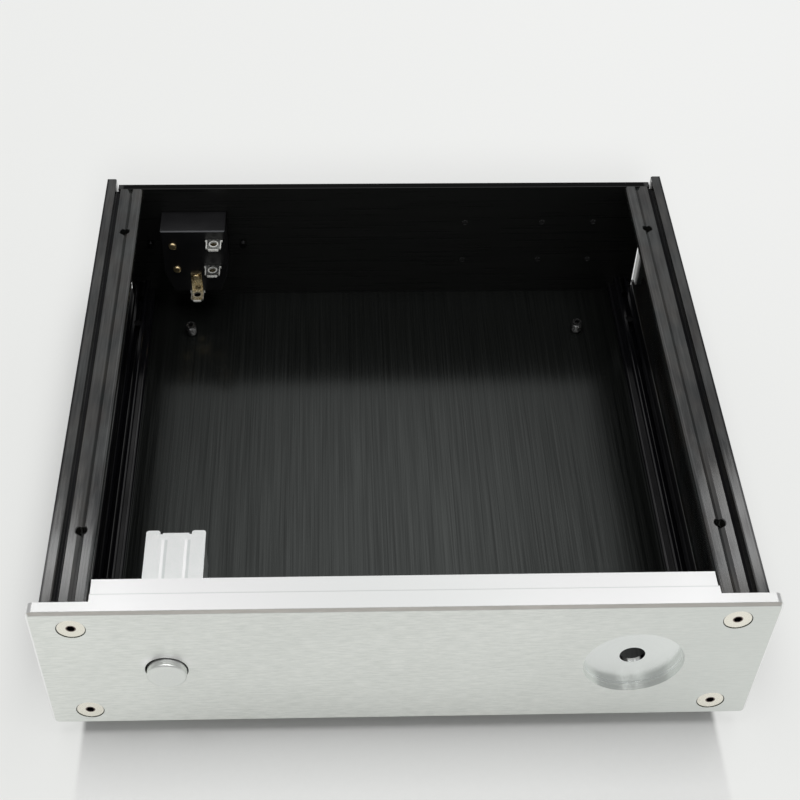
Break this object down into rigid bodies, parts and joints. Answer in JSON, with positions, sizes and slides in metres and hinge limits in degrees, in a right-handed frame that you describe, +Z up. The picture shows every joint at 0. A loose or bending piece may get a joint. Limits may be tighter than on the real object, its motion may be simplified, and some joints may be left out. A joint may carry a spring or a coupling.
{
  "type": "amplifier chassis",
  "caption": "Open aluminium amplifier chassis with extruded side rails, a silver front panel with power button and knob recess, and a fused mains inlet at the back.",
  "frame": {"origin": "middle of the whole part on the ground under the feet", "axes": "+X to the right seen from the front, +Y from the front panel to the back panel, +Z up"},
  "size_m": [0.24, 0.224, 0.073],
  "materials": {
    "panel_silver": "horizontally brushed, clear anodised",
    "rail_black": "black anodised, satin",
    "plate_black": "black anodised, finely brushed",
    "screw_nickel": "nickel plated",
    "screw_black": "black oxide",
    "screw_steel": "zinc plated",
    "foot_rubber": "matt",
    "inlet_plastic": "moulded, fine grain",
    "brass_part": "stamped",
    "tab_tinned": "tinned",
    "fuse_glass": "clear",
    "fuse_cap_metal": "nickel plated",
    "switch_zinc": "galvanised sheet",
    "switch_plastic": "moulded",
    "button_silver": "satin"
  },
  "bodies": {
    "case": {"front_panel": "panel_silver", "left_side_rail": "rail_black", "right_side_rail": "rail_black", "floor_plate": "plate_black", "back_panel": "plate_black", "front_panel_screws": "screw_nickel", "back_panel_screws": "screw_black", "floor_plate_screws": "screw_black", "front_left_foot": "foot_rubber", "front_right_foot": "foot_rubber", "rear_left_foot": "foot_rubber", "rear_right_foot": "foot_rubber", "foot_screws": "screw_steel", "inlet_housing": "inlet_plastic", "inlet_screws": "screw_black", "line_pin": "brass_part", "neutral_pin": "tab_tinned", "earth_pin": "tab_tinned", "fuse_supply_contact": "brass_part", "fuse_load_tab": "tab_tinned", "switch_frame": "switch_zinc", "switch_body": "switch_plastic", "switch_terminals": "tab_tinned", "switch_screws": "screw_steel"},
    "button": {"power_button": "button_silver", "switch_plunger": "switch_plastic"},
    "drawer": {"fuse_drawer": "inlet_plastic", "fuse_tube": "fuse_glass", "fuse_caps": "fuse_cap_metal"}
  },
  "joints": [
    {"name": "button_press", "type": "slide", "parent": "case", "child": "button", "axis": [0, 1, 0], "range_m": [0, 0.003], "stiffness_N_per_m": 300},
    {"name": "fuse_drawer_pull", "type": "slide", "parent": "case", "child": "drawer", "axis": [0, 1, 0], "range_m": [0, 0.018]}
  ]
}
